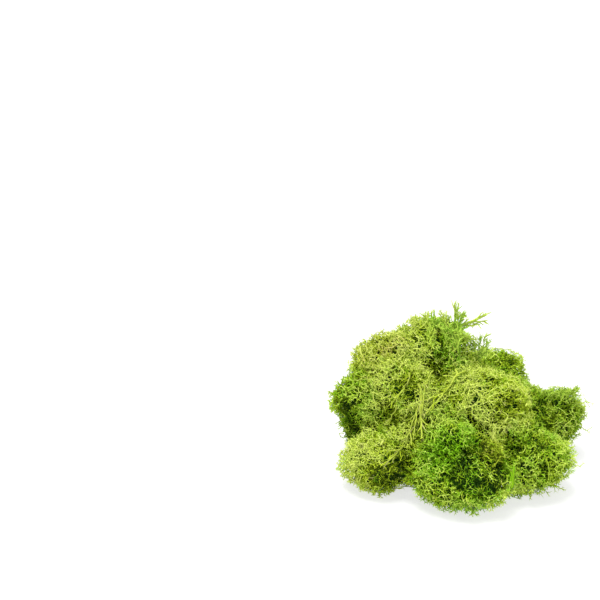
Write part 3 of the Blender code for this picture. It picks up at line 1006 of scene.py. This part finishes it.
CROWN_LEFT_STEMS = [
    shoot((-69, 3, 65.5), (-63, -6, 59.5), 1.0, 0.72, 5, 0.14, 34, 0.95),
    shoot((-63, -6, 59.5), (-56, -11, 58.5), 0.9, 0.7, 5, 0.14, 34, 0.95),
    shoot((-66, 2, 67.5), (-60, -6, 62), 1.0, 0.78, 5, 0.14, 34, 0.95),
    shoot((-63, -3, 65), (-53, -8, 63.5), 0.9, 0.74, 5, 0.16, 34, 0.95),
    shoot((-59, -9, 58), (-49, -12, 61), 0.9, 0.7, 6, 0.16, 34, 0.9),
    shoot((-70, 0, 60), (-66, -8, 54), 0.9, 0.7, 5, 0.14, 34, 0.9),
    shoot((-50, -5, 67), (-43, -11, 64), 0.8, 0.72, 5, 0.16, 34, 0.9),
]
CROWN_BRUSH = [
    shoot((-28 + 0.7 * part, 1 + 3 * (part * 3 % 5), 69 + 2.2 * (part * 3 % 5)),
          (-29.5 + 0.9 * part, 5 + 2 * (part * 3 % 5), 78 + 1.6 * (part * 3 % 5) + part % 4),
          1.2 + 0.12 * (part % 4), 0.22 + 0.14 * (part % 3), 16, 0.25, 46, 0.8)
    for part in range(26)
]
CROWN_HANGING = [
    shoot((-17 + 1.3 * part, 10, 80), (-18 + 1.4 * part, -2 + part % 3, 60 + part % 2),
          0.8, 0.15, 5, 0.08, 24, 0.72)
    for part in range(7)
]
CROWN_SHOOTS = CROWN_BRUSH + CROWN_HANGING + [
    # The upright prong and the shoots on its left.
    shoot((-14, 12, 78), (-15.5, 13, 93), 1.5, 0.4, 6, 0.06, 18),
    shoot((-14, 12, 78), (-12.4, 13, 95.5), 1.7, 0.5, 6, 0.06, 16),
    shoot((-13, 12, 78), (-13.3, 13, 91), 1.4, 0.3, 7, 0.06, 20, 0.8),
    shoot((-12, 12, 78), (-9.1, 13, 90.8), 1.3, 0.3, 7, 0.08, 22, 0.8),
    shoot((-16, 11, 72), (-18.8, 13, 86), 1.2, 0.5, 8, 0.12, 28),
    shoot((-17, 11, 71), (-21, 13, 87), 1.1, 0.55, 9, 0.16, 34),
    shoot((-19, 11, 71), (-23, 13, 87), 1.0, 0.5, 9, 0.16, 38),
    shoot((-22, 11, 72), (-27, 13, 88.5), 1.0, 0.6, 8, 0.16, 38),
    shoot((-28, 11, 74), (-30.4, 13, 88.5), 1.1, 0.6, 3, 0.08, 16),
    shoot((-29, 11, 74), (-28.5, 13, 88), 1.1, 0.75, 3, 0.08, 16),
    shoot((-36, 11, 72), (-38.5, 13, 84), 0.9, 0.6, 4, 0.06, 34),
    shoot((-37, 12, 74), (-40.2, 13, 83), 0.8, 0.6, 4, 0.06, 34),
    # The prong that leans out to the right.
    shoot((-15, 13, 78), (3.5, 13, 88.6), 2.1, 0.5, 6, 0.03, 18, 0.95),
    shoot((-12, 12.5, 80), (1, 12.5, 88), 1.8, 0.45, 6, 0.03, 18, 0.8),
    shoot((-6, 13, 83), (3.5, 13, 85.2), 1.7, 0.4, 6, 0.03, 18, 0.9),
    shoot((-13, 13, 77), (-1, 13, 83), 1.5, 0.4, 8, 0.05, 24, 0.9),
    shoot((-7, 13, 82), (-3, 13, 81), 1.2, 0.45, 3, 0.05, 24, 0.9),
    # The fringe down the right slope.
    shoot((-12, 13, 71), (-4, 13, 73), 1.1, 0.4, 9, 0.1, 40, 0.8),
    shoot((-11, 13, 68), (-1, 14, 72), 1.1, 0.5, 9, 0.1, 40),
    shoot((-9, 13, 65), (0, 14, 69), 1.1, 0.4, 10, 0.1, 40),
    shoot((-8, 13, 62), (-2, 14, 66), 1.1, 0.4, 10, 0.1, 40),
    shoot((-7, 13, 60), (2, 14, 64), 1.1, 0.4, 10, 0.1, 40),
    shoot((0, 14, 57), (1.5, 14, 74), 1.2, 0.35, 12, 0.1, 34, 0.85),
    shoot((0, 14, 57), (-1, 14, 70), 1.1, 0.3, 14, 0.1, 40, 0.85),
    shoot((1, 14, 57), (4.5, 14, 74.5), 1.2, 0.35, 12, 0.1, 34),
    shoot((2, 14, 57), (6.5, 14, 71), 1.1, 0.3, 14, 0.1, 40, 0.85),
    shoot((2, 14, 57), (7.5, 14, 66), 1.1, 0.3, 14, 0.1, 40, 0.85),
]

grow_head("crown_left_head", OLIVE_MOSS, CROWN_LEFT_STEMS)
grow_head("crown_head", YELLOW_MOSS, CROWN_SHOOTS)

# Middle head and shelf head.
# Two yellow green cushions in front of the crown. Where they meet, thicker bare branches lie open:
# one with a broken end and a fork, drawn by the first five stems, the others fanned out downwards
# like roots. All of it is the same lichen.
MIDDLE_STEMS = [
    stem(((-9.5, -10.6, 60.8), (-11.9, -16.2, 58.5), (-14, -20.5, 55.8), (-17, -23.5, 53.4)),
         2.5, twigs=1),
    stem(((-5, -9.5, 62.4), (-9.5, -10.6, 60.8), (-11.9, -16.2, 58.5)), 1.8, twigs=0),
    stem(((-11.3, -7.6, 61.6), (-9.5, -10.6, 60.8), (-11.9, -16.2, 58.5)), 1.6, twigs=0),
    stem(((-17, -23.5, 53.4), (-20.9, -25.3, 51.7), (-25.4, -26.9, 51), (-30, -28.5, 50)), 1.9),
    stem(((-17, -23.5, 53.4), (-19.2, -27.3, 50.6), (-22.7, -29.6, 48.5), (-24.5, -33, 45.5)),
         2.0, twigs=4),
    stem(((-32, -23.4, 58.5), (-29.7, -25, 55.3), (-29.2, -28.2, 50.4), (-28.8, -34.2, 42.6),
          (-27.9, -38, 39.9), (-27, -46, 35.5)), 1.9, twigs=8),
    stem(((-28.3, -26, 54), (-27.6, -29.5, 49.5), (-28.8, -34.2, 42.6), (-29.5, -37.5, 39.5)),
         1.1, twigs=4),
    stem(((-30.5, -29.5, 48.5), (-32, -34, 42.2), (-33.7, -37, 38.4), (-34.3, -41, 35.4),
          (-36, -45, 33)), 1.3),
    stem(((-31, -34.5, 41.5), (-31.6, -37, 39.1), (-31.3, -42, 36), (-31.7, -46.5, 33)), 0.9, twigs=3),
    stem(((-34.3, -41, 35.4), (-32.9, -43.5, 34.2), (-32.4, -49, 31.8)), 1.0, twigs=3),
    stem(((-39.7, -28.6, 57.1), (-43.3, -31, 52), (-46.6, -31.6, 48)), 1.1, twigs=4),
    stem(((-43, -31.4, 47), (-45, -32.6, 41.3), (-47.4, -34.5, 35.3)), 1.2, twigs=4),
    stem(((-37.8, -20.4, 63.6), (-36.5, -22.6, 60.8), (-40.5, -27.6, 57)), 1.0, twigs=4),
    stem(((-24, -14, 63), (-27, -20.5, 60), (-28, -24, 56)), 1.0),
]

grow_head("middle_head", YELLOW_MOSS, MIDDLE_STEMS)
grow_head("shelf_head", YELLOW_MOSS, tuft=0.92)

# Small heads.
# Young growth with the finest tufts: a vivid green head and a small pale knob above the front
# head, and a round head behind the shelf. They are rooted between the larger cushions.
grow_head("bright_head", FRESH_MOSS, tuft=0.85)
grow_head("knob_head", OLIVE_MOSS, tuft=0.85)
grow_head("upper_right_head", FRESH_MOSS, tuft=0.85)

# Back heads.
# Three low cushions close the clump's far side. They are the same dyed lichen and grow out of the
# same middle, but have no long shoots, as the photo doesn't show that side.
grow_head("back_left_head", FRESH_MOSS, under_net=0.6)
grow_head("back_head", YELLOW_MOSS, under_net=0.6)
# This head takes the darker copy of the fresh green finish, as painted shade.
grow_head("back_right_head", PAINTED_SHADE_MOSS, under_net=0.6)

# Floor, light and camera.
# A plain pale floor, a large soft light from above, a little to the left, and an even pale
# surrounding. The camera stands where the photo was taken from.
floor_material = bpy.data.materials.new("pale_floor")
floor_material.use_nodes = True
floor_shader = floor_material.node_tree.nodes["Principled BSDF"]
floor_look = {"Base Color": (0.3, 0.3, 0.3, 1), "Roughness": 0.6,
              "Emission Color": (1, 1, 1, 1), "Emission Strength": 0.7}
for label, value in floor_look.items():
    floor_shader.inputs[label].default_value = value
bpy.ops.mesh.primitive_plane_add(size=8)
floor = bpy.context.object
floor.name = "floor"
floor.data.materials.append(floor_material)

world = bpy.data.worlds.new("surrounding")
bpy.context.scene.world = world
world.use_nodes = True
background = world.node_tree.nodes["Background"]
background.inputs["Color"].default_value = (1, 1, 1, 1)
background.inputs["Strength"].default_value = 0.8

SUN_WAY = Vector((0.2, 0.0, -1))
sun_data = bpy.data.lights.new("key_light", "SUN")
sun_data.energy = 3.5
sun_data.angle = math.radians(28)
sun = add_object("key_light", sun_data)
sun.rotation_euler = SUN_WAY.to_track_quat("-Z", "Y").to_euler()

# The camera's tilt, roll and heading are in degrees.
CAMERA_PLACE = (0, -0.86546, 0.4941)
CAMERA_TURN = (65.37993, -1.79285, 7.80229)
camera_data = bpy.data.cameras.new("camera")
camera_data.lens = 96.97
camera_data.sensor_width = 36
camera_data.clip_start = 0.01
camera_data.clip_end = 50
camera = add_object("camera", camera_data)
camera.location = CAMERA_PLACE
camera.rotation_euler = [math.radians(turn) for turn in CAMERA_TURN]
bpy.context.scene.camera = camera
bpy.context.scene.view_settings.view_transform = "Standard"
